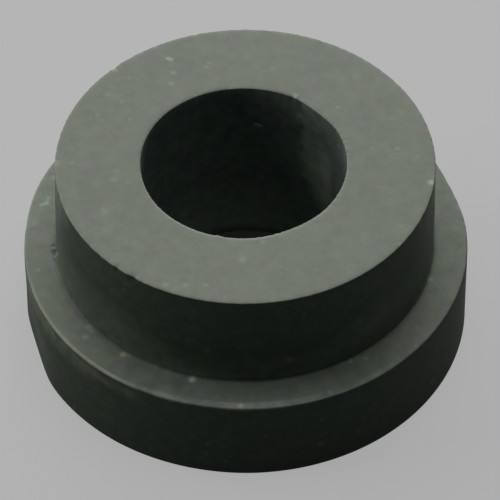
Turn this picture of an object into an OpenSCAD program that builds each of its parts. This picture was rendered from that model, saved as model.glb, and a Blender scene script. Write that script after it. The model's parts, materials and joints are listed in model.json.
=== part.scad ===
// Flanged mounting bushing, moulded in one piece of solid rubber.
// A round flange carries a narrower round neck, and one straight hole runs through both.
// The base of the flange lies on the XY plane, and the hole's axis is +Z through the origin.

/* [Flange] */
// Outside diameter of the flange
flange_d = 26.4; // [23.5:0.05:40]
// Thickness of the flange, from its base up to the shelf around the neck
flange_t = 5.65; // [1.5:0.05:16]

/* [Neck] */
// Outside diameter of the neck, which fills the hole in the bracket
neck_d = 22.1; // [14:0.05:25]
// Height of the neck above the shelf
neck_h = 6.7; // [1.5:0.05:20]

/* [Bore] */
// Diameter of the through hole, which takes a pin or a spacer sleeve
bore_d = 12; // [4:0.05:20]

/* [Edges] */
// Radius on the flange's upper outer edge
flange_edge_r = 0.2; // [0.05:0.05:0.6]
// Radius on the neck's outer edge at the top
neck_edge_r = 0.1; // [0.05:0.05:0.6]
// Radius on the bore's upper mouth
bore_edge_r = 0.1; // [0.05:0.05:0.6]
// Radius on the two edges of the base, at the flange's rim and at the bore's lower mouth
base_edge_r = 0.05; // [0.05:0.05:0.6]
// Radius of the fillet where the neck rises from the shelf
root_r = 0.3; // [0.05:0.05:1.2]

/* [Hidden] */
total_h = flange_t + neck_h;
shelf_w = (flange_d - neck_d) / 2;
fillet_r = min(root_r, shelf_w - flange_edge_r, neck_h - neck_edge_r);
edge_faces = 32;
round_faces = 180;
rubber_black = [0.13, 0.14, 0.12];

// What is left of a square corner outside a quarter round of radius r.
// The corner is at the origin and the solid lies towards +X and +Y.
module corner_waste(r) {
    difference() {
        square(r);
        translate([r, r]) circle(r, $fn = edge_faces);
    }
}

// Half section of the solid rubber, right of the axis: flange, neck, and the fillet between them
module half_section() {
    difference() {
        union() {
            translate([bore_d / 2, 0]) square([(flange_d - bore_d) / 2, flange_t]);
            translate([bore_d / 2, 0]) square([(neck_d - bore_d) / 2, total_h]);
            translate([neck_d / 2, flange_t]) corner_waste(fillet_r);
        }
        translate([flange_d / 2, 0]) mirror([1, 0]) corner_waste(base_edge_r);
        translate([flange_d / 2, flange_t]) rotate(180) corner_waste(flange_edge_r);
        translate([neck_d / 2, total_h]) rotate(180) corner_waste(neck_edge_r);
        translate([bore_d / 2, total_h]) mirror([0, 1]) corner_waste(bore_edge_r);
        translate([bore_d / 2, 0]) corner_waste(base_edge_r);
    }
}

// The moulding: the half section turned once about the bore's axis
module bushing() {
    color(rubber_black) rotate_extrude($fn = round_faces) half_section();
}

bushing();
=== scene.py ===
# %% [markdown]
# # A rubber mounting bushing
# The object is one moulding of solid black rubber: a round flange, a narrower neck on top of it
# and a straight hole through both. It sits in a hole of a bracket and keeps a bolt from rattling.
# The solid model gives its sizes. This lesson dresses it: a fine mesh with real edges, dents and
# nicks, a rubber finish with dust and some painted light and shade on it, and a plain set.

# %% Load the solid model
import json
import math
import bpy
import numpy as np
from mathutils import Matrix, Vector


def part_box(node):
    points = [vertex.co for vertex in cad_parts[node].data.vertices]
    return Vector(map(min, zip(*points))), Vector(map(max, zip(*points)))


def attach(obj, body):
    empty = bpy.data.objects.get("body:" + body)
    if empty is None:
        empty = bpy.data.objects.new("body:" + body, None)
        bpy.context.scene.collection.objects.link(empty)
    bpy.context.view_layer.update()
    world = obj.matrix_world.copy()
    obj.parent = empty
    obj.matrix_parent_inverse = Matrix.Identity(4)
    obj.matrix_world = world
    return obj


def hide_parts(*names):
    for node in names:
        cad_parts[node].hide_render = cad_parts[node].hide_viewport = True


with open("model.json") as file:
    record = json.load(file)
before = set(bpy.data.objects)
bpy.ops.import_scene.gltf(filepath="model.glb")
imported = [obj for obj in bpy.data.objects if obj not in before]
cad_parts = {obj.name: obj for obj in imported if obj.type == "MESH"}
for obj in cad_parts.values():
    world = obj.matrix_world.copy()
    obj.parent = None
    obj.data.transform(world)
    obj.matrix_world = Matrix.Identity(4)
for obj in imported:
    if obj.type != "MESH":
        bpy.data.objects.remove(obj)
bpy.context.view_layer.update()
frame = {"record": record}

# %% [markdown]
# ## Sizes
# Every length here is in millimetres. The five main sizes are read from the solid model, so the
# two always agree. The small edge radii are written down, because the model's record of mounts
# doesn't hold them. The foot of the part was cut off square, so its two edges are nearly sharp.

# %% Sizes in millimetres
MM = 0.001
mounts = {mount["name"]: mount for mount in frame["record"]["mounts"]}
FLANGE_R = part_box("bushing")[1].x / MM
TOP_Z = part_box("bushing")[1].z / MM
SHELF_Z = mounts["shelf"]["pos_m"][2] / MM
NECK_R = mounts["neck"]["dims"]["r_mm"]
BORE_R = mounts["bore"]["dims"]["r_mm"]
FLANGE_EDGE = 0.1
NECK_EDGE = 0.06
BORE_EDGE = 0.05
FOOT_EDGE = 0.04
ROOT = 0.12
print(f"flange {FLANGE_R:.3f}, neck {NECK_R:.3f}, bore {BORE_R:.3f}, shelf {SHELF_Z:.2f}, top {TOP_Z:.2f}")

# %% [markdown]
# ## The half section
# A turned shape is an outline swept round an axis. The outline here is the bushing cut in half:
# radius against height. It could be a curve with a Screw modifier. Plain lists of points are
# easier to bend afterwards, so each edge is an arc and each straight stretch is cut into steps.

# %% Arcs and straight stretches
def arc(centre_r, centre_z, radius, start, end, steps):
    turned = np.radians(np.linspace(start, end, steps + 1))
    return [(centre_r + radius * math.cos(a), centre_z + radius * math.sin(a)) for a in turned]


def stretch(start, end, steps):
    return [tuple(np.add(start, np.subtract(end, start) * i / steps)) for i in range(1, steps)]


print("a quarter round of 6 steps has", len(arc(0, 0, 1, 0, 90, 6)), "points")

# %% The outline of the bushing
def half_section():
    edges = [
        arc(BORE_R + FOOT_EDGE, FOOT_EDGE, FOOT_EDGE, 180, 270, 2),
        arc(FLANGE_R - FOOT_EDGE, FOOT_EDGE, FOOT_EDGE, 270, 360, 2),
        arc(FLANGE_R - FLANGE_EDGE, SHELF_Z - FLANGE_EDGE, FLANGE_EDGE, 0, 90, 6),
        arc(NECK_R + ROOT, SHELF_Z + ROOT, ROOT, 270, 180, 6),
        arc(NECK_R - NECK_EDGE, TOP_Z - NECK_EDGE, NECK_EDGE, 0, 90, 4),
        arc(BORE_R + BORE_EDGE, TOP_Z - BORE_EDGE, BORE_EDGE, 90, 180, 4),
    ]
    steps = [8, 18, 12, 24, 26, 20]
    outline = []
    for index, edge in enumerate(edges):
        following = edges[(index + 1) % len(edges)]
        outline += edge + stretch(edge[-1], following[0], steps[index])
    return np.array(outline)


section = half_section()
print(len(section), "points in the half section")

# %% [markdown]
# ## Sweep it round
# The outline is repeated at several hundred angles, and neighbours are joined by quads. The
# angles are evenly spaced, with finer steps where a rim is nicked, because a nick of a fifth of
# a millimetre would fall between two coarse steps.

# %% Angles of the sweep
EVEN_STEP = 0.62
FINE_STEP = 0.3
NICKED = {
    "top rim, back left": (132, 138),
    "top rim, back right": (62, 68),
    "top rim, front left": (-134, -123),
    "bore rim, back left": (114, 120),
    "bore rim, front": (-108, -102),
    "foot of the neck": (-179, -172),
}


def sweep_angles():
    found = []
    angle = -180.0
    while angle < 180 - EVEN_STEP / 2:
        found.append(angle)
        nicked = any(low <= angle < high for low, high in NICKED.values())
        angle += FINE_STEP if nicked else EVEN_STEP
    return np.radians(found)


angles = sweep_angles()
print(len(angles), "angles,", 2 * len(angles) * len(section), "triangles")

# %% [markdown]
# ## Ways to bend the grid
# The grid keeps an angle, a radius and a height for each point. A fault in the rubber is then a
# small change of radius or height near one place. Sculpting would do it by hand. A formula gives
# the same result at each run. `patch` is one smooth hump, 1 in its middle and 0 at its border.

# %% Grids of angle, radius and height
turn = np.repeat(angles[:, None], len(section), axis=1)
radius = np.repeat(section[None, :, 0], len(angles), axis=0)
height = np.repeat(section[None, :, 1], len(angles), axis=0)


def around(azimuth):
    return (turn - math.radians(azimuth) + math.pi) % (2 * math.pi) - math.pi


def patch(azimuth, at_radius, half_width, along, centre, half_length):
    across = around(azimuth) * at_radius / half_width
    lengthways = (along - centre) / half_length
    return np.clip(1 - across ** 2 - lengthways ** 2, 0, 1) ** 1.5


def fade(values, start, end):
    return np.clip((values - start) / (end - start), 0, 1)


print("grid of", turn.shape[0], "by", turn.shape[1], "points")

# %% [markdown]
# ## Four surfaces
# Each fault belongs to one surface: the hole's wall, the top, the neck or the flange. In a hand
# made model these would be vertex groups. Here a mask of true and false over the grid does the
# same, and it is made before anything moves, while the sizes still tell the surfaces apart.

# %% Which points lie on which surface
on_bore = (radius < BORE_R + BORE_EDGE) & (height < TOP_Z - 1e-4)
on_top = height > TOP_Z - NECK_EDGE * 1.01
on_neck = (np.abs(radius - NECK_R) < ROOT) & (height > SHELF_Z + 1e-4) & ~on_top
on_flange = (radius > FLANGE_R - FLANGE_EDGE) & (height > FOOT_EDGE / 2)
shares = [round(float(mask.mean()), 2) for mask in (on_bore, on_top, on_neck, on_flange)]
print("share of the points on bore, top, neck and flange:", shares)

# %% [markdown]
# ## The leaning walls
# The wall of the flange leans in a little towards the top, as moulded walls do so that the part
# leaves its mould, and less so on the right. The hole leans as well: its mouth lies a tenth of a
# millimetre to the left. A taper in the outline would lean the same way all round, so the lean
# is added to the grid instead. It grows with the height, from nothing at the base.

# %% The draft of the flange and the leaning hole
DRAFT = 0.075
SPARED = 0.4
MOUTH_SHIFT = 0.113
TOP_MIDDLE_R = 8.0
outer = fade(radius, NECK_R + ROOT, FLANGE_R - FLANGE_EDGE) * (height <= SHELF_Z)
upright = 1 - SPARED * patch(-8, FLANGE_R, 5.5, height, SHELF_Z, 30)
radius -= DRAFT * outer * upright * height / SHELF_Z
at_mouth = fade(radius, TOP_MIDDLE_R, BORE_R) * (height > SHELF_Z)
radius -= MOUTH_SHIFT * np.cos(turn) * np.where(on_bore, height / TOP_Z, at_mouth)
print(f"bore radius at the mouth {radius[on_bore].min():.2f} to {radius[on_bore].max():.2f} mm")

# %% [markdown]
# ## The mouth of the hole
# The mouth isn't round. Three stretches of it bulge inwards, where the rubber was trimmed by
# hand. Each is one wide patch, with the angle, the width and the bulge in a table of its own,
# so that they can be found and changed by name.

# %% Three bulges of the mouth
MOUTH_BULGES = {
    "back right": (43, 1.9, 0.11),
    "front right": (-63, 2.6, 0.06),
    "left": (180, 4.0, 0.045),
}
BULGE_LENGTH = 5.0
inner_rim = radius < BORE_R + 0.35
for at, half_width, bulge in MOUTH_BULGES.values():
    radius -= bulge * patch(at, BORE_R, half_width, height, TOP_Z, BULGE_LENGTH) * inner_rim
print(len(MOUTH_BULGES), "bulges of the mouth, up to", max(b[2] for b in MOUTH_BULGES.values()), "mm")

# %% [markdown]
# ## The neck's foot
# The neck widens towards its foot, for the same reason as the flange leans. It does so at its
# sides only, and on the left twice as much as on the right. The cosine of the angle is 1 or -1
# at the sides and 0 in front and behind, so a power of it places the widening. The shelf next
# to the foot is drawn along, or the two surfaces would cross.

# %% The neck widens towards its foot
NECK_DRAFT_LEFT = 0.2
NECK_DRAFT_RIGHT = 0.1
DRAWN_ALONG = 1.2
towards_foot = fade(height, TOP_Z, SHELF_Z) * fade(radius, NECK_R + DRAWN_ALONG, NECK_R + ROOT)
towards_foot *= (radius > NECK_R - NECK_EDGE) & (height > SHELF_Z - 1e-4)
sideways = np.abs(np.cos(turn)) ** 1.5
widening = np.where(np.cos(turn) < 0, NECK_DRAFT_LEFT, NECK_DRAFT_RIGHT)
radius += widening * sideways * towards_foot
print(f"radius of the neck {radius[on_neck].min():.2f} to {radius[on_neck].max():.2f} mm")

# %% [markdown]
# ## The flange's rim
# Rubber shrinks unevenly as it cools, so the rim wanders in and out by up to a fifth of a
# millimetre. A few wide patches with a plus or a minus sign give that. They fade towards the
# base, which was cut on a flat bench and is truer. The long swelling at the back left goes an
# eighth of a millimetre past the solid model's circle. The box doesn't show that, because the
# swelling lies between two axes, so it is worth knowing when the part is fitted closely.

# %% The flange's wandering rim
RIM_SWELLINGS = {
    "back left, long": (151, 5.5, 0.2),
    "back right, short": (34, 3.0, 0.07),
    "right, hollow": (19, 3.0, -0.08),
    "front, hollow": (-106, 6.0, -0.05),
}
SWELLING_LENGTH = 8
for at, half_width, swelling in RIM_SWELLINGS.values():
    radius += swelling * outer * patch(at, FLANGE_R, half_width, height, SHELF_Z, SWELLING_LENGTH)
print(f"rim of the flange at {radius[on_flange].min():.2f} to {radius[on_flange].max():.2f} mm")

# %% [markdown]
# ## The flat on the flange
# Low on the left the flange was pressed flat. A Boolean with a box would cut it, with a hard
# edge and uneven faces. Here the flat is the straight line's own radius at each angle, and the
# smaller of the two radii counts. `logaddexp` is a soft way to take the smaller one, which
# rounds the border. The flat fades out halfway up the wall.

# %% Press the flat
FLAT_AT = -165
FLAT_DEPTH = 0.26
FLAT_REACH = 0.6
FLAT_TOP, FLAT_FULL = 4.6, 1.6
SOFTNESS = 0.1
flat = (FLANGE_R - FLAT_DEPTH) / np.cos(np.clip(around(FLAT_AT), -FLAT_REACH, FLAT_REACH))
smaller = -SOFTNESS * np.logaddexp(-radius / SOFTNESS, -flat / SOFTNESS)
fading = fade(height, FLAT_TOP, FLAT_FULL) * (radius > FLANGE_R - 0.5)
fading = fading * (np.abs(around(FLAT_AT)) < FLAT_REACH)
radius += (smaller - radius) * fading
print(f"the flat takes off {FLANGE_R - radius[on_flange].min():.2f} mm")

# %% [markdown]
# ## Uneven skin
# A moulded skin is never smooth. Sculpting or a Displace modifier would roughen it. A sum of a
# few waves round the part, with seeded random sizes and phases, does so with less fuss and is
# the same at each run. Few long waves give slow swellings, many short ones roughen the rims.

# %% Waves
draw = np.random.default_rng(7)


def waves(lowest, highest, count, per_mm):
    total = np.zeros_like(turn)
    for _ in range(count):
        turns = draw.integers(lowest, highest)
        rise = draw.uniform(-per_mm, per_mm)
        phase = draw.uniform(0, 2 * math.pi)
        total += np.sin(turns * turn + rise * (height + radius) + phase)
    return total / math.sqrt(count)


slow = waves(2, 11, 7, 0.7)
ragged = waves(45, 170, 14, 3.0)
print(f"slow waves {slow.min():.1f} to {slow.max():.1f}, ragged {ragged.min():.1f} to {ragged.max():.1f}")

# %% [markdown]
# ## Skin and rims
# The slow waves move the walls by a hundredth of a millimetre, enough to bend the light. The
# short ones eat into the three upper rims, where rubber tears as it leaves the mould. Both only
# take material away, so neither makes the part larger.

# %% Roughen walls and rims
SWELL = 0.005
RAG = 0.007
walls = on_bore | on_neck | on_flange
inward = np.where(on_bore, -1, 1)
radius -= np.where(walls, inward * SWELL * np.clip(1.6 + slow, 0, 4), 0)
height -= np.where(on_top, SWELL * 0.5 * np.clip(1.6 + slow, 0, 4), 0)
top_rim = fade(np.hypot(radius - NECK_R, height - TOP_Z), 0.35, 0.1)
mouth_rim = fade(np.hypot(radius - BORE_R, height - TOP_Z), 0.35, 0.1)
shelf_rim = fade(np.hypot(radius - FLANGE_R, height - SHELF_Z), 0.45, 0.15)
ragging = RAG * np.clip(1.2 + ragged, 0, 4)
radius += ragging * (mouth_rim - top_rim - 0.6 * shelf_rim)
height -= 0.5 * ragging * (mouth_rim + top_rim + shelf_rim)
print(f"largest radius {radius.max():.3f}, largest height {height.max():.3f} mm")

# %% [markdown]
# ## Nicks in the rims
# A nick is a small bite out of a rim: its points move away from the rim and down together. Each
# has an angle, the radius of its rim, half its width, how far it goes aside and how far down. A
# burr is the same with the sign turned, so a little rubber is left over.

# %% Nicks and a burr
NICKS = {
    "top rim, back left": (135, NECK_R, 0.3, -0.06, 0.03),
    "top rim, back right": (65, NECK_R, 0.18, -0.03, 0.0),
    "top rim, front left": (-125.5, NECK_R, 0.45, -0.08, 0.02),
    "top rim, beside it": (-131.5, NECK_R, 0.30, -0.06, 0.02),
    "mouth, back left": (117, BORE_R, 0.24, 0.03, 0.02),
    "mouth, back right": (62, BORE_R, 0.2, 0.04, 0.02),
    "mouth, front, a burr": (-105, BORE_R, 0.35, -0.06, 0.0),
}
NICK_REACH = 0.45
for azimuth, rim, half_width, aside, down in NICKS.values():
    from_rim = np.hypot(radius - rim, height - TOP_Z)
    reach = patch(azimuth, rim, half_width, from_rim, 0, NICK_REACH)
    radius = radius + aside * reach
    height = height - down * reach
print(len(NICKS), "nicks and burrs cut into the rims")

# %% [markdown]
# ## The tear
# At the left foot of the neck the flange has begun to part from it. The tear is a short pit in
# the corner with a smaller one beside it, and an undercut into the neck's wall above them. On a
# grid this dense a pit is better made by moving points than by cutting faces.

# %% The tear at the foot of the neck
TEAR_AT = -175.3
TEAR_DEPTH = 0.07
NECK_FOOT_R = NECK_R + NECK_DRAFT_LEFT
near_foot = (height > SHELF_Z - 0.3) & (height < SHELF_Z + 0.9)
corner = near_foot & (radius > NECK_R - 0.1)
pit = patch(TEAR_AT, NECK_R, 0.35, radius, NECK_FOOT_R + 0.02, 0.26)
pit += 0.6 * patch(TEAR_AT - 2.6, NECK_R, 0.22, radius, NECK_FOOT_R + 0.08, 0.2)
height -= TEAR_DEPTH * pit * corner
undercut = patch(TEAR_AT, NECK_R, 0.4, height, SHELF_Z + 0.2, 0.6)
undercut = undercut * corner * (radius < NECK_FOOT_R + 0.1)
radius -= TEAR_DEPTH * undercut
print(f"tear {TEAR_DEPTH * pit.max():.2f} mm deep")

# %% [markdown]
# ## The mesh
# Each quad joins two neighbouring angles and two neighbouring points of the outline, and both
# wrap round, so the surface is closed. Smooth shading is safe, because every edge is an arc.
# The piece rides on the part's one body and takes the place of the solid model's bushing.

# %% Build the mesh
def grid_mesh(name):
    points = np.stack([radius * np.cos(turn), radius * np.sin(turn), height], axis=-1)
    index = np.arange(turn.size).reshape(turn.shape)
    ahead = np.roll(index, -1, axis=0)
    quads = np.stack([index, ahead, np.roll(ahead, -1, axis=1), np.roll(index, -1, axis=1)], axis=-1)
    made = bpy.data.meshes.new(name)
    made.from_pydata((points.reshape(-1, 3) * MM).tolist(), [], quads.reshape(-1, 4).tolist())
    made.polygons.foreach_set("use_smooth", [True] * len(made.polygons))
    return made


mesh = grid_mesh("rubber_moulding")
moulding = bpy.data.objects.new("rubber_moulding", mesh)
bpy.context.scene.collection.objects.link(moulding)
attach(moulding, "root")
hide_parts("bushing")
print(len(mesh.polygons) * 2, "triangles in", moulding.name)

# %% [markdown]
# ## A shorthand for shader nodes
# A finish is a small network of nodes. `add` makes a node, sets its sockets by name and links
# any socket that is given another node's output. The rest of the recipe then reads as formulas.

# %% Node helpers
rubber = bpy.data.materials.new("moulded_rubber")
rubber.use_nodes = True
tree = rubber.node_tree
shader = tree.nodes["Principled BSDF"]


def plug(socket, value):
    if isinstance(value, bpy.types.NodeSocket):
        tree.links.new(value, socket)
    else:
        socket.default_value = value


def add(kind, output, operation=None, **sockets):
    made = tree.nodes.new("ShaderNode" + kind)
    if operation:
        made.operation = operation
    for name, value in sockets.items():
        key = int(name[1:]) if name[1:].isdigit() else name.replace("_", " ")
        plug(made.inputs[key], value)
    return made.outputs[output]


def maths(operation, first, second=0.0):
    return add("Math", "Value", operation, i0=first, i1=second)


def vectors(operation, first, second):
    return add("VectorMath", "Vector", operation, i0=first, i1=second)


def remap(value, low, high, to_low=0.0, to_high=1.0):
    to = {"To_Min": to_low, "To_Max": to_high}
    return add("MapRange", "Result", Value=value, From_Min=low, From_Max=high, **to)


def blend(share, first, second):
    made = tree.nodes.new("ShaderNodeMix")
    made.data_type = "RGBA"
    plug(made.inputs[0], share)
    plug(made.inputs[6], first)
    plug(made.inputs[7], second)
    return made.outputs[2]


print("helpers ready on", rubber.name)

# %% [markdown]
# ## Where on the part
# The finish differs from place to place: the up-facing faces hold a film of fine dust, the walls
# are bare. The mesh's own coordinates, in millimetres, tell a node where it is: how far from the
# axis, at which angle round it, how high, and how much the surface faces up.

# %% Places
coordinates = tree.nodes.new("ShaderNodeTexCoord")
place = add("VectorMath", "Vector", "SCALE", i0=coordinates.outputs["Object"], Scale=1 / MM)
from_axis = add("VectorMath", "Value", "LENGTH", i0=vectors("MULTIPLY", place, (1, 1, 0)))
split_place = tree.nodes.new("ShaderNodeSeparateXYZ")
plug(split_place.inputs[0], place)
place_x, place_y, place_z = split_place.outputs
azimuth_here = maths("DEGREES", maths("ARCTAN2", place_y, place_x))
split_normal = tree.nodes.new("ShaderNodeSeparateXYZ")
plug(split_normal.inputs[0], coordinates.outputs["Normal"])
facing_up = split_normal.outputs["Z"]
print("places: from the axis, round it, height, facing up")

# %% [markdown]
# ## Noises
# Dust and bloom lie in clouds of several sizes. Noise textures in the mesh's coordinates give
# them, and they fit together over every edge, where a painted image would need unwrapping. Each
# noise is made once and used in several recipes below.

# %% Noises
def noise(scale, detail=2.0, roughness=0.5, vector=None, output="Fac"):
    sizes = {"Scale": scale, "Detail": detail, "Roughness": roughness}
    return add("TexNoise", output, Vector=vector or place, **sizes)


clouds = noise(0.35, 3.0)
blotches = noise(1.5, 2.0)
grain = noise(7.0, 3.0, 0.6)
tints = noise(1.3, 1.0, output="Color")
print("three sizes of noise, and one of colour")

# %% [markdown]
# ## The film: dust and painted sheen
# The faces that look up, and the small rims between them and the walls, carry a pale film. It is
# partly fine dust and partly painted sheen: the light that falls on these faces from above and
# behind is painted into their colour. The film stops short of the corner at the neck's foot, a
# little further out at the sides than in front. The corner stays dark, partly for less dust and
# partly as painted shade. A soft step on the surface's direction finds those faces. A step on the
# distance from the axis leaves out the corner.

# %% Where the film lies
def between(value, low, high, soft):
    return maths("MULTIPLY", remap(value, low - soft, low + soft), remap(value, high + soft, high - soft))


at_top_rim = remap(place_z, TOP_Z - 0.15, TOP_Z - 0.08)
at_a_rim = maths("MAXIMUM", at_top_rim, remap(from_axis, 12.7, 12.8))
rim_film = maths("MULTIPLY", at_a_rim, remap(facing_up, 0.3, 0.8))
flat_enough = maths("MAXIMUM", remap(facing_up, 0.90, 0.99), rim_film)
on_left = remap(place_x, -4.0, -9.0)
on_right = remap(place_x, 4.0, 9.0)
at_the_side = maths("MAXIMUM", on_right, on_left)
foot_widens = maths("MAXIMUM", maths("MULTIPLY", on_left, 0.12), maths("MULTIPLY", on_right, 0.06))
film_start = maths("ADD", NECK_R, foot_widens)
film_ramp = maths("ADD", 0.14, maths("MULTIPLY", at_the_side, 0.2))
past_corner = remap(from_axis, film_start, maths("ADD", film_start, film_ramp))
below_top = remap(place_z, TOP_Z - 1, TOP_Z - 2)
outside_dark_corner = maths("MAXIMUM", past_corner, maths("SUBTRACT", 1.0, below_top))
# Dust and painted sheen: the light from above and behind is painted into the up-facing faces. The dark
# corner left out is partly painted shade.
film = maths("MULTIPLY", flat_enough, outside_dark_corner)
print("film placed by direction, kept out of the corner")

# %% [markdown]
# ## The painted rim highlight
# The flange's upper rim is painted grey along the front left, a painted highlight where its
# rounding catches the light from above: about 0.4 mm wide at the front and half as wide further
# round. On the right it is as dark as the wall. Each stretch is a band of angles times a band of
# distances from the axis, and noise breaks it up. The shelf beside the narrow stretch is painted
# a little lighter too, as painted light.

# %% Where the rim highlight is painted
def angle_band(low, high, soft):
    return between(azimuth_here, low, high, soft)


# Painted highlight: bands of angle and radius where the rim's rounding catches the light.
wide_highlight = maths("MULTIPLY", angle_band(-103, -74, 9), between(from_axis, 12.64, 13.06, 0.09))
middle_highlight = maths("MULTIPLY", angle_band(-118, -106, 6), between(from_axis, 12.76, 13.12, 0.09))
narrow_highlight = maths("MULTIPLY", angle_band(-166, -118, 6), between(from_axis, 12.93, 13.15, 0.06))
faint_highlight = maths("MULTIPLY", angle_band(-70, -40, 14), between(from_axis, 12.75, 13.05, 0.09))
rim_highlight = maths("MAXIMUM", maths("MAXIMUM", wide_highlight, middle_highlight), narrow_highlight)
rim_highlight = maths("MAXIMUM", rim_highlight, maths("MULTIPLY", faint_highlight, 0.35))
at_shelf_height = remap(place_z, SHELF_Z - 0.2, SHELF_Z - 0.1)
broken_up = maths("MULTIPLY", at_shelf_height, remap(blotches, 0.3, 0.6, 0.75, 1.0))
rim_highlight = maths("MULTIPLY", rim_highlight, broken_up)
# Painted light on the shelf beside the narrow stretch.
shelf_light = maths("MULTIPLY", angle_band(-174, -136, 8), remap(from_axis, 12.0, 12.8, 0.0, 0.35))
shelf_light = maths("MULTIPLY", shelf_light, at_shelf_height)
rim_highlight = maths("MAXIMUM", rim_highlight, shelf_light)
print("rim wear on the front left")

# %% [markdown]
# ## Rubber and dust
# The rubber itself is near black with a touch of green. Most other colours are dust on it, in
# thin or thick coats. Some stand for light and shade instead: the film is partly painted sheen,
# the front film holds painted shade, and the foot light, the rim highlight greys, the hole's lit
# band and the light low in the hole are painted light. They are written as the share of light
# that comes back, red, green and blue. Dusty black things are paler than one expects: a film
# gives back about a tenth.

# %% Colours
BARE = (0.0042, 0.0068, 0.0052, 1)
PALER_WALL = (0.052, 0.062, 0.047, 1)
# Painted light for the very foot of the neck.
FOOT_LIGHT = (0.092, 0.114, 0.094, 1)
HOLE_DUST = (0.108, 0.131, 0.121, 1)
# Painted light: the lit band in the hole.
HOLE_LIT_BAND = (0.160, 0.190, 0.150, 1)
# Painted light low in the hole.
LOW_HOLE_LIGHT = (0.24, 0.29, 0.23, 1)
# Grey of the painted highlight on the narrow stretch of the rim.
NARROW_HIGHLIGHT_GREY = (0.215, 0.225, 0.172, 1)
# Dust and painted sheen on the faces that look up.
DUST_AND_SHEEN = (0.109, 0.115, 0.098, 1)
# The film with painted shade, for the front of the shelf.
SHADED_FRONT_FILM = (0.093, 0.109, 0.092, 1)
# Grey of the painted highlight on the rest of the rim.
RIM_HIGHLIGHT_GREY = (0.150, 0.170, 0.142, 1)
print("bare rubber gives back", BARE[1], "of green light, the film", DUST_AND_SHEEN[1])

# %% [markdown]
# ## The outer walls
# The walls are nearly bare. A little dust has settled in blotches, and the neck is paler low down,
# towards its foot. Along the very foot of the neck a thin pale line of painted light lifts the
# dark of the corner, in front and on the right. The steps below place these coats one over the
# other, as layers of paint would be.

# %% Dust and painted light on the outer walls
wall_dust = maths("MULTIPLY", remap(blotches, 0.42, 0.7), remap(grain, 0.3, 0.7, 0.4, 1.0))
in_front = remap(place_y, -8.5, -10.5)
foot_top = maths("SUBTRACT", 9.6, maths("MULTIPLY", in_front, 1.8))
# The neck is made paler towards its foot.
on_neck_foot = maths("MULTIPLY", remap(place_z, foot_top, 5.9), remap(place_z, 0.3, 0.8))
on_neck_foot = maths("MULTIPLY", on_neck_foot, remap(from_axis, NECK_R + 0.7, NECK_R + 0.4))
wall_dust_and_paler_foot = maths("ADD", maths("MULTIPLY", wall_dust, 0.16), maths("MULTIPLY", on_neck_foot, 0.85))
bare_walls = blend(wall_dust_and_paler_foot, BARE, PALER_WALL)
by_the_neck = remap(from_axis, NECK_R + 0.5, NECK_R + 0.2)
# Painted light: a thin pale line along the neck's foot lifts the shade of the corner.
lit_foot_line = maths("MULTIPLY", between(place_z, SHELF_Z, SHELF_Z + 0.45, 0.3), by_the_neck)
lit_foot_line = maths("MULTIPLY", lit_foot_line, maths("MAXIMUM", in_front, on_right))
bare_walls = blend(maths("MULTIPLY", lit_foot_line, 0.9), bare_walls, FOOT_LIGHT)
print("dust on the walls")

# %% [markdown]
# ## The painted highlight at the neck's upper edge
# High on the neck's wall, at its left and its right, the film is carried over the rim as a
# painted highlight: the light line that grazing light draws along the neck's outline. It would
# be a sharp patch if it were only placed by coordinates, so it fades in from below and from the
# side, and a large noise breaks it up.

# %% Painted highlight over the neck's rim
# Painted highlight: a light line along the neck's left and right outline.
sheen_left = remap(place_x, -10.1, -11.0, 0.0, 0.8)
sheen_right = remap(place_x, 9.8, 11.0, 0.0, 0.55)
painted_edge_sheen = maths("MULTIPLY", maths("MAXIMUM", sheen_left, sheen_right), remap(place_z, 8.6, 12.2))
painted_edge_sheen = maths("MULTIPLY", painted_edge_sheen, remap(from_axis, NECK_R + 0.3, NECK_R + 0.1))
painted_edge_sheen = maths("MULTIPLY", painted_edge_sheen, remap(noise(0.9, 3.0), 0.38, 0.6, 0.15, 1.0))
print("pale edge at the neck's left and right")

# %% [markdown]
# ## The hole's wall
# The hole is dusty all the way down, and painted paler near its lower end, as painted light where
# little light reaches. Its right side holds painted light and shade from the lamp at the left: its
# dust is painted thinner, as painted shade where that lamp lights it, and lies as a paler band
# lower down, a painted lit patch. The band ends in a ragged edge, a painted shadow edge, that runs
# down the wall and bends to the front. The edge is an angle that depends on the height, and
# blotches shift it to and fro.

# %% Dust, painted light and painted shade in the hole
in_bore = remap(from_axis, BORE_R + 0.3, BORE_R + 0.15)
# Painted shadow edge of the lamp's light on the hole's right wall.
painted_shadow_edge = maths("ADD", remap(place_z, 6.3, 4.0, 56.0, 38.0), remap(blotches, 0.2, 0.8, -4.0, 4.0))
past_shadow_edge = maths("SUBTRACT", azimuth_here, painted_shadow_edge)
below_mouth = remap(place_z, 10.0, 7.5, 0.1, 1.0)
# Painted light: the band beside the edge is the lamp's lit patch.
painted_lit_band = maths("MULTIPLY", between(past_shadow_edge, -24.0, 0.0, 3.0), below_mouth)
# Painted shade near the mouth, beyond the edge.
shaded_strip = maths("MULTIPLY", remap(past_shadow_edge, -2.0, 2.0), remap(azimuth_here, 80.0, 57.0))
shaded_strip = maths("MULTIPLY", shaded_strip, remap(place_z, 7.5, 9.5, 0.0, 0.5))
thinner_on_left = remap(place_x, -3.0, -5.0, 1.0, 0.8)
hole_dust_and_shade = maths("MULTIPLY", remap(blotches, 0.3, 0.7, 0.8, 1.0), thinner_on_left)
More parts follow.
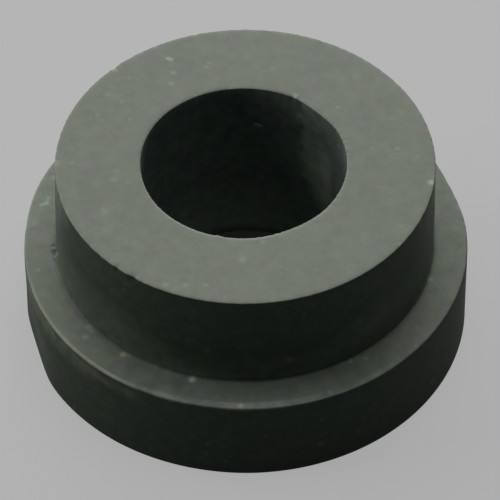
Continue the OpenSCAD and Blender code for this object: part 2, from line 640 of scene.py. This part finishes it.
# Painted shade over the hole's right side.
shaded_right_side = maths("MULTIPLY", remap(azimuth_here, 62.0, 42.0), remap(azimuth_here, -60.0, -30.0))
right_side_shading = maths("SUBTRACT", 1.0, maths("MULTIPLY", shaded_right_side, 0.5))
hole_dust_and_shade = maths("MULTIPLY", hole_dust_and_shade, right_side_shading)
hole_dust_and_shade = maths("MULTIPLY", hole_dust_and_shade, maths("SUBTRACT", 1.0, shaded_strip))
all_walls = blend(maths("MULTIPLY", in_bore, hole_dust_and_shade), bare_walls, HOLE_DUST)
lit_band_share = maths("MULTIPLY", painted_lit_band, maths("MULTIPLY", in_bore, 0.95))
all_walls = blend(lit_band_share, all_walls, HOLE_LIT_BAND)
# Painted light low in the hole, where little light reaches.
lit_low_in_hole = maths("MULTIPLY", remap(place_z, 5.0, 0.5, 0.0, 0.8), in_bore)
all_walls = blend(lit_low_in_hole, all_walls, LOW_HOLE_LIGHT)
print("dust in the hole, with a ragged edge on its right")

# %% [markdown]
# ## Film and rim
# Now the film of dust and painted sheen is laid over the bare rubber and the painted rim highlight
# over the film. The film is a shade greener and darker on the front of the shelf, and a little
# darker on the shelf except its left: painted shade, where the neck keeps the light off. Its share
# drifts with the large clouds, but it is about nine tenths or more everywhere: even a thin coat of
# dust hides the rubber.

# %% Lay on the film and the painted rim highlight
front_shelf = maths("MULTIPLY", in_front, below_top)
# Painted shade: the film is darker on the front of the shelf and, a little, on the shelf except its left,
# where the neck keeps the light off.
film_colour = blend(front_shelf, DUST_AND_SHEEN, SHADED_FRONT_FILM)
shelf_shading = remap(on_left, 0, 1, 0.93, 1.0)
shaded_low_down = remap(place_z, 8, 9, shelf_shading, 1.0)
film_thickness_and_shade = maths("MULTIPLY", remap(clouds, 0.2, 0.8, 0.95, 1.0), shaded_low_down)
film_share = maths("MAXIMUM", maths("MULTIPLY", film, film_thickness_and_shade), painted_edge_sheen)
filmed = blend(film_share, all_walls, film_colour)
# Painted highlight laid over the film.
highlighted = blend(rim_highlight, filmed, blend(narrow_highlight, RIM_HIGHLIGHT_GREY, NARROW_HIGHLIGHT_GREY))
print("film and rim")

# %% [markdown]
# ## Mottling
# Old rubber has faint olive, green and blue patches. A noise in three colours, less its middle
# grey, gives a small push of colour either way, which is stronger on bare walls than on dust.
# The front of the shelf shows brush strokes that run across it. They are a noise stretched
# along the radius, by giving it the angle and a shortened radius as its coordinates.

# %% Patches of tint and strokes of the brush
wall_tint = remap(in_bore, 0, 1, 0.6, 0.4)
film_tint = remap(below_top, 0, 1, 0.22, 0.35)
tint_strength = remap(film, 0, 1, wall_tint, film_tint)
push = vectors("SUBTRACT", tints, (0.5, 0.5, 0.5))
tint = add("VectorMath", "Vector", "SCALE", i0=push, Scale=tint_strength)
along_rim = maths("MULTIPLY", azimuth_here, 0.25)
across_rim = maths("MULTIPLY", from_axis, 0.5)
brushed_place = add("CombineXYZ", "Vector", X=along_rim, Y=across_rim)
strokes = remap(noise(1.3, 2.0, vector=brushed_place), 0.3, 0.7, -0.09, 0.09)
brushed = maths("MULTIPLY", strokes, front_shelf)
print("tint and brush strokes")

# %% [markdown]
# ## Light and dark
# Blotches and a fine grain lighten and darken everything by about a tenth. The front of the top is
# painted a little lighter, as painted light from the lamp above. All these shares are added up
# first and then multiplied with the colour once, which keeps the hue and needs one node.

# %% Mottle the rubber
blotching = maths("MULTIPLY", remap(blotches, 0.2, 0.8, -0.12, 0.12), remap(below_top, 0, 1, 1.0, 1.5))
lightness = maths("ADD", maths("ADD", 1.0, blotching), remap(grain, 0.2, 0.8, -0.08, 0.08))
# Painted light: the front of the top is a little lighter.
lighter_front_of_top = maths("MULTIPLY", remap(place_y, -3, -9, 0.0, 0.05), remap(below_top, 1, 0))
lightness = maths("ADD", lightness, maths("ADD", brushed, lighter_front_of_top))
shading = add("VectorMath", "Vector", "SCALE", i0=vectors("ADD", tint, (1, 1, 1)), Scale=lightness)
mottled = vectors("MULTIPLY", highlighted, shading)
print("mottled by tint, blotch and grain")

# %% [markdown]
# ## Specks, lint and scratches
# Single grains of dust, a few threads of lint and some scratches lie at known places. A painted
# texture could hold them. Here each one is the distance to a point or to a short line, so it
# keeps its shape at any size. A little noise in the coordinates makes the edges ragged. Places
# are given as on a turned part: the angle, the distance from the axis and the height.

# %% Spots and streaks
wobble = vectors("SUBTRACT", noise(9.0, 2.0, output="Color"), (0.5, 0.5, 0.5))
ragged_place = vectors("ADD", place, vectors("MULTIPLY", wobble, (0.14, 0.14, 0.14)))


def on_part(azimuth, reach, z):
    a = math.radians(azimuth)
    return Vector((reach * math.cos(a), reach * math.sin(a), z))


def spot(azimuth, reach, z, size, strength=1.0):
    away = add("VectorMath", "Value", "DISTANCE", i0=ragged_place, i1=on_part(azimuth, reach, z))
    return remap(away, size, size * 0.1, 0.0, strength)


def streak(start, end, width, strength=1.0):
    first, last = on_part(*start), on_part(*end)
    along = last - first
    offset = vectors("SUBTRACT", ragged_place, first)
    per_length = along / along.length_squared
    share = remap(add("VectorMath", "Value", "DOT_PRODUCT", i0=offset, i1=per_length), 0, 1)
    nearest = add("VectorMath", "Vector", "SCALE", i0=along, Scale=share)
    away = add("VectorMath", "Value", "DISTANCE", i0=offset, i1=nearest)
    return remap(away, width, width * 0.15, 0.0, strength)


def together(masks):
    total = masks[0]
    for mask in masks[1:]:
        total = maths("MAXIMUM", total, mask)
    return total


print("a spot is a point with a size, a streak is a short line with a width")

# %% [markdown]
# ## Specks on the top
# About twenty grains stand out on the top. Each has a name, an angle, a distance from the axis,
# a size in millimetres and a strength. Most are faint: a strength of 0.1 is a grain that only
# shows when one looks for it.

# %% Specks on the top
TOP_SPECKS = {
    "right rim, white": (-9, 10.88, 0.31, 0.62),
    "left rim": (-180, 10.93, 0.34, 0.15),
    "mouth of the hole, back left": (117, 6.15, 0.22, 0.2),
    "mouth of the hole, back": (98, 6.05, 0.2, 0.2),
    "mouth of the hole, back right": (62, 6.2, 0.26, 0.3),
    "back left, whitish": (124, 7.8, 0.25, 0.22),
    "back": (104.5, 8.5, 0.2, 0.15),
    "back right, near the hole": (77.5, 7.85, 0.3, 0.1),
    "back right, near the rim": (46.5, 9.6, 0.4, 0.12),
    "left of the lint": (134.5, 9.75, 0.25, 0.1),
    "left, outer pair": (145.5, 9.8, 0.28, 0.12),
    "left, inner pair": (145.5, 8.75, 0.22, 0.12),
    "left, near the rim": (156, 9.5, 0.26, 0.12),
    "left, near the hole": (-170, 7.75, 0.33, 0.12),
    "left, beside it": (-175, 7.5, 0.32, 0.08),
    "front left, large": (-154.5, 8.95, 0.4, 0.15),
    "front left, broad": (-146, 9.5, 0.5, 0.07),
    "front left, faint": (-135, 9.0, 0.4, 0.08),
    "front, near the rim": (-115.5, 10.6, 0.3, 0.15),
    "front, near the hole": (-91.5, 7.65, 0.37, 0.15),
}


def specks_at(height, table):
    return together([spot(at, reach, height, size, much) for at, reach, size, much in table.values()])


top_specks = specks_at(TOP_Z, TOP_SPECKS)
top_lint = streak((118.1, 9.74, TOP_Z), (117.3, 9.56, TOP_Z), 0.2, 0.45)
print(len(TOP_SPECKS), "specks and one thread of lint on the top")

# %% [markdown]
# ## Specks on the shelf and the walls
# The shelf holds more and larger grains, mostly where a finger doesn't reach, and one bent fleck
# of lint. On the walls only a few stuck. A spot on a wall has its height in the table as well,
# because a wall is upright.

# %% Specks on the shelf and the walls
SHELF_SPECKS = {
    "left, by the neck": (155.6, 12.62, 0.25, 0.2),
    "left": (173.4, 12.65, 0.27, 0.12),
    "front left, broad": (-141, 12.0, 0.35, 0.22),
    "front left, at the neck's foot": (-143.3, 11.42, 0.3, 0.25),
    "front left, beside it": (-141.6, 11.45, 0.25, 0.2),
    "front left, faint": (-135, 12.25, 0.4, 0.07),
    "front, at the neck's foot": (-106, 11.3, 0.3, 0.9),
    "front, on the rim": (-91.5, 12.84, 0.26, 0.6),
    "front right, at the neck's foot": (-57.8, 11.3, 0.22, 0.3),
    "front right, beside it": (-53.5, 11.6, 0.22, 0.3),
    "front right, by the rim": (-68, 12.8, 0.22, 0.2),
    "right, at the neck's foot": (-16.5, 11.32, 0.26, 0.3),
    "right": (10.8, 11.66, 0.25, 0.15),
}
shelf_specks = specks_at(SHELF_Z, SHELF_SPECKS)
shelf_fleck = together([
    streak((166.4, 12.57, SHELF_Z), (165.3, 12.3, SHELF_Z), 0.16, 0.33),
    streak((165.3, 12.3, SHELF_Z), (163, 12.33, SHELF_Z), 0.15, 0.2),
    spot(165.3, 12.3, SHELF_Z, 0.22, 0.4),
])
WALL_SPECKS = {
    "neck, front": (-77, NECK_R, 7.2, 0.25, 0.12),
    "neck, front, higher": (-101.5, NECK_R, 8.1, 0.22, 0.08),
    "flange, left": (-157, FLANGE_R - 0.1, 2.4, 0.25, 0.15),
    "flange, front left": (-99.9, FLANGE_R - 0.05, 2.4, 0.2, 0.07),
    "flange, front left, lower": (-100.2, FLANGE_R - 0.05, 1.5, 0.25, 0.06),
    "flange, front": (-71, FLANGE_R - 0.05, 1.7, 0.3, 0.07),
    "flange, front right": (-34, FLANGE_R - 0.05, 1.3, 0.25, 0.1),
    "hole, right": (22, BORE_R, 11.3, 0.25, 0.3),
}
wall_specks = together([spot(*speck) for speck in WALL_SPECKS.values()])
print(len(SHELF_SPECKS), "specks and a bent fleck on the shelf,", len(WALL_SPECKS), "on the walls")

# %% [markdown]
# ## Lint, smears and scratches
# These are streaks: a thread of lint in the hole, an olive smear high on the flange's left, three
# soft scratches on the shelf's right and the pale torn edge at the neck's foot.

# %% Lint in the hole and scratches
hole_lint = streak((84, BORE_R, 9.37), (81.2, BORE_R, 9.32), 0.17, 0.85)
wall_smear = together([
    streak((-176, FLANGE_R - 0.1, 5.3), (-150, FLANGE_R - 0.1, 5.2), 1.4, 0.6),
    streak((-150, FLANGE_R - 0.1, 5.0), (-133, FLANGE_R - 0.1, 5.0), 1.1, 0.5),
    streak((-133, FLANGE_R - 0.1, 4.9), (-120, FLANGE_R - 0.1, 4.9), 0.6, 0.4),
])
shelf_scratches = together([
    streak((1.1, 12.1, SHELF_Z), (-2.3, 12.66, SHELF_Z), 0.18, 0.2),
    streak((3.5, 12.2, SHELF_Z), (1.5, 12.6, SHELF_Z), 0.18, 0.12),
    streak((-1.5, 12.0, SHELF_Z), (-4, 12.5, SHELF_Z), 0.2, 0.12),
])
torn_edge = streak((-174.0, NECK_FOOT_R - 0.01, 5.95), (-170.0, NECK_FOOT_R - 0.03, 6.6), 0.13, 0.4)
print("lint in the hole, a smear on the flange and scratches on the shelf")

# %% [markdown]
# ## Stray dust
# The rest of the dust lies at random, on all sides. A Voronoi texture scatters one point per
# cell. Only the cells whose random colour is high keep their grain, so the grains stay sparse.

# %% Random grains
def grains(scale, size, share, strength):
    cells = tree.nodes.new("ShaderNodeTexVoronoi")
    plug(cells.inputs["Vector"], ragged_place)
    plug(cells.inputs["Scale"], scale)
    chosen = add("SeparateXYZ", "X", Vector=cells.outputs["Color"])
    kept = remap(chosen, 1 - share, 1 - share * 0.5)
    return maths("MULTIPLY", remap(cells.outputs["Distance"], size, size * 0.3, 0.0, strength), kept)


stray = maths("MAXIMUM", grains(0.9, 0.2, 0.25, 0.14), grains(2.5, 0.25, 0.2, 0.1))
stray = maths("MULTIPLY", stray, remap(film, 0, 1, 0.35, 1.0))
print("two sizes of stray grains")

# %% [markdown]
# ## The marks in colour
# All marks are masks so far. Pale dust, yellowish dust, painted shade in the tear and scratches
# down to bare rubber are laid over the mottled finish one after another. Where marks overlap, the
# later one wins.

# %% Put the marks on
PALE = (0.36, 0.38, 0.34, 1)
YELLOWISH = (0.34, 0.34, 0.24, 1)
OLIVE = (0.070, 0.076, 0.054, 1)
# Painted shade for the tear.
TEAR_SHADE = (0.035, 0.042, 0.036, 1)
lint = [top_lint, shelf_fleck, hole_lint]
pale_marks = together([top_specks, shelf_specks, wall_specks, *lint, torn_edge, stray])
yellow_marks = together([
    spot(120, 8.5, TOP_Z, 0.26, 0.25),
    spot(8, 7.5, TOP_Z, 0.25, 0.08),
    spot(-128.5, 11.42, SHELF_Z, 0.26, 0.7),
    spot(-155, 12.1, SHELF_Z, 0.5, 0.08),
    spot(-160.5, 12.5, SHELF_Z, 0.5, 0.08),
    spot(4, 12.4, SHELF_Z, 0.5, 0.08),
])
# Painted shade: the dark in the tear and its crack stands for shade in the pit.
tear_shade = together([
    streak((-176.5, NECK_FOOT_R - 0.02, 5.9), (-171.0, NECK_FOOT_R - 0.04, 6.9), 0.18, 0.9),
    streak((-174.2, NECK_FOOT_R, SHELF_Z), (-169.5, NECK_FOOT_R - 0.04, 5.75), 0.22, 0.95),
    streak((-173.5, NECK_FOOT_R + 0.06, SHELF_Z), (-172.6, NECK_FOOT_R + 0.12, SHELF_Z), 0.12, 0.9),
])
nicked = spot(65.4, 10.92, TOP_Z, 0.26, 0.3)
marked = blend(maths("MULTIPLY", wall_smear, remap(blotches, 0.3, 0.6, 0.5, 1.2)), mottled, OLIVE)
marked = blend(tear_shade, marked, TEAR_SHADE)
marked = blend(maths("MAXIMUM", shelf_scratches, nicked), marked, BARE)
marked = blend(yellow_marks, blend(pale_marks, marked, PALE), YELLOWISH)
print("marks laid over the rubber")

# %% [markdown]
# ## Gloss and grain
# Rubber this old has a dull skin: a broad, weak sheen on the walls and a little more on the
# rubbed, dusty faces. The grain is too fine to model, a few thousandths of a millimetre, so a
# bump gives it. The tint on the reflection is the greenish bloom of the rubber's wax.

# %% Finish the rubber
skin = remap(grain, 0.2, 0.8, -0.05, 0.05)
dullness = maths("ADD", remap(film, 0, 1, 0.74, 0.56), skin)
bump = add("Bump", "Normal", Height=maths("MULTIPLY", grain, 0.003 * MM), Distance=1.0, Strength=0.6)
plug(shader.inputs["Base Color"], marked)
plug(shader.inputs["Roughness"], dullness)
plug(shader.inputs["Normal"], bump)
shader.inputs["IOR"].default_value = 1.5
shader.inputs["Specular IOR Level"].default_value = 0.42
shader.inputs["Specular Tint"].default_value = (0.73, 1.0, 0.70, 1)
mesh.materials.append(rubber)
print(len(tree.nodes), "nodes in the rubber")

# %% [markdown]
# ## The floor
# The part stands on a plain pale floor. Its colour alone sets the background, so the lamps stay
# at a plain level. Seen by the camera, the floor is part lit surface and part even grey, like
# backlit paper, which keeps the shadow faint. Under the part the floor is painted dark, a painted
# shadow of the part: only the sliver that shows through the hole tells.

# %% Greys and shares of the floor
FLOOR_GREY = 0.44
EVEN_GREY = 0.456
SEEN_SHARE = 0.8
MIRRORED_SHARE = 0.3
# Painted shadow: the floor is dark within this distance of the axis, under the part.
SHADOW_WITHIN, PALE_BEYOND = 7 * MM, 10 * MM
GREYS = {"lit": (0.05, FLOOR_GREY), "even": (0.0075, EVEN_GREY)}
RAYS = {
    "Is Camera Ray": SEEN_SHARE,
    "Is Glossy Ray": MIRRORED_SHARE,
    "Is Transmission Ray": SEEN_SHARE,
}


def grey_ramps(nodes, links):
    where = nodes.new("ShaderNodeTexCoord")
    away = nodes.new("ShaderNodeVectorMath")
    away.operation = "LENGTH"
    links.new(where.outputs["Object"], away.inputs[0])
    greys = {}
    for name, (dark, grey) in GREYS.items():
        ramp = nodes.new("ShaderNodeMapRange")
        ramp.inputs["From Min"].default_value = SHADOW_WITHIN
        ramp.inputs["From Max"].default_value = PALE_BEYOND
        ramp.inputs["To Min"].default_value = dark
        ramp.inputs["To Max"].default_value = grey
        links.new(away.outputs["Value"], ramp.inputs["Value"])
        greys[name] = ramp.outputs["Result"]
    return greys


def even_share(nodes, links):
    rays = nodes.new("ShaderNodeLightPath")
    share = None
    for kind, part in RAYS.items():
        adding = nodes.new("ShaderNodeMath")
        adding.operation = "MULTIPLY_ADD"
        links.new(rays.outputs[kind], adding.inputs[0])
        adding.inputs[1].default_value = part
        adding.inputs[2].default_value = 0
        if share:
            links.new(share, adding.inputs[2])
        share = adding.outputs[0]
    return share


print("floor grey", FLOOR_GREY, "lit and", EVEN_GREY, "even, dark within", round(SHADOW_WITHIN / MM), "mm")

# %% [markdown]
# ## Lay the floor
# A Mix Shader joins the lit surface and the even grey, which an Emission shader gives. Softly
# scattered light sees only the lit surface, so the grey doesn't act as a lamp. The floor itself
# is one large square. It lies a hair below the part, so that no two faces share one height.

# %% Floor
FLOOR_HALF = 2.0
FLOOR_Z = -0.02 * MM


def floor_material():
    material = bpy.data.materials.new("pale_floor")
    material.use_nodes = True
    material.cycles.emission_sampling = "NONE"
    nodes, links = material.node_tree.nodes, material.node_tree.links
    surface = nodes["Principled BSDF"]
    surface.inputs["Roughness"].default_value = 1
    surface.inputs["Specular IOR Level"].default_value = 0
    greys = grey_ramps(nodes, links)
    links.new(greys["lit"], surface.inputs["Base Color"])
    paper = nodes.new("ShaderNodeEmission")
    links.new(greys["even"], paper.inputs["Color"])
    mixed = nodes.new("ShaderNodeMixShader")
    links.new(even_share(nodes, links), mixed.inputs[0])
    links.new(surface.outputs[0], mixed.inputs[1])
    links.new(paper.outputs[0], mixed.inputs[2])
    links.new(mixed.outputs[0], nodes["Material Output"].inputs["Surface"])
    return material


square = ((-1, -1), (1, -1), (1, 1), (-1, 1))
corners = [(x * FLOOR_HALF, y * FLOOR_HALF, FLOOR_Z) for x, y in square]
floor_mesh = bpy.data.meshes.new("floor")
floor_mesh.from_pydata(corners, [], [(0, 1, 2, 3)])
floor = bpy.data.objects.new("floor", floor_mesh)
bpy.context.scene.collection.objects.link(floor)
floor_mesh.materials.append(floor_material())
print(f"floor {2 * FLOOR_HALF:.0f} m across, grey {FLOOR_GREY}")

# %% [markdown]
# ## The camera
# The camera looks down on the part at 48 degrees from about 23 cm, through a long lens, so the
# circles show as near ellipses. A Track To constraint would aim it dead centre. Here the camera
# is placed by its own three directions, which are then turned by the small tilt, pan and roll
# of a hand-held shot. The focal length is in pixels of a frame that is 500 wide.

# %% Camera
FRAME_PIXELS = 500
SENSOR = 36
FOCAL_PIXELS = 3888.1
DISTANCE = 234.62
ELEVATION = 0.84100
PAN = -0.0011
TILT = 0.01384
ROLL = 0.00496


def aimed_camera():
    data = bpy.data.cameras.new("camera")
    data.sensor_width = SENSOR
    data.lens = FOCAL_PIXELS / FRAME_PIXELS * SENSOR
    data.clip_start = 0.01
    data.clip_end = 10
    camera = bpy.data.objects.new("camera", data)
    bpy.context.scene.collection.objects.link(camera)
    stand = Vector((0, -DISTANCE * math.cos(ELEVATION), DISTANCE * math.sin(ELEVATION)))
    forward = -stand.normalized()
    right = Vector((1, 0, 0))
    up = right.cross(forward)
    tilt = Matrix.Rotation(TILT, 3, right)
    forward, up = tilt @ forward, tilt @ up
    pan = Matrix.Rotation(PAN, 3, up)
    forward, right = pan @ forward, pan @ right
    roll = Matrix.Rotation(ROLL, 3, forward)
    right, up = roll @ right, roll @ up
    facing = Matrix((right, up, -forward)).transposed()
    camera.matrix_world = Matrix.Translation(stand * MM) @ facing.to_4x4()
    return camera


bpy.context.scene.camera = aimed_camera()
print(f"lens {bpy.context.scene.camera.data.lens:.0f} mm, {DISTANCE:.0f} mm from the part")

# %% [markdown]
# ## The light
# Three soft boxes light the part: a wide low one behind it, a taller one at its left and a weak
# one overhead. Low light rakes across the dusty faces and leaves the front of the walls dark.
# Each lamp's power follows from how bright its face should look, so boxes of any size compare.

# %% Light
def soft_box(name, azimuth, elevation, half_wide, half_high, radiance, distance=0.6):
    data = bpy.data.lights.new(name, "AREA")
    data.shape = "RECTANGLE"
    data.size = 2 * distance * math.tan(math.radians(half_wide))
    data.size_y = 2 * distance * math.tan(math.radians(half_high))
    data.energy = radiance * math.pi * data.size * data.size_y
    lamp = bpy.data.objects.new(name, data)
    bpy.context.scene.collection.objects.link(lamp)
    a = math.radians(azimuth)
    e = math.radians(elevation)
    direction = Vector((math.cos(a) * math.cos(e), math.sin(a) * math.cos(e), math.sin(e)))
    lamp.location = direction * distance
    lamp.rotation_euler = direction.to_track_quat("Z", "Y").to_euler()
    print(f"{name}: {data.size * 1000:.0f} by {data.size_y * 1000:.0f} mm, {data.energy:.2f} W")


soft_box("back_box", 96, 19, 40, 17, 5.9)
soft_box("left_box", 168, 26, 20, 24, 3.7)
soft_box("top_box", 30, 79, 16, 22, 2.8)

# %% [markdown]
# ## The world
# A studio's walls give back a little light from all round. A very dark grey world does that. The
# Standard view transform shows each colour about as it is written.

# %% A little light from all round
world = bpy.data.worlds.new("studio")
bpy.context.scene.world = world
world.use_nodes = True
world.node_tree.nodes["Background"].inputs["Color"].default_value = (0.005, 0.005, 0.005, 1)
bpy.context.scene.view_settings.view_transform = "Standard"
print("world and view transform set")
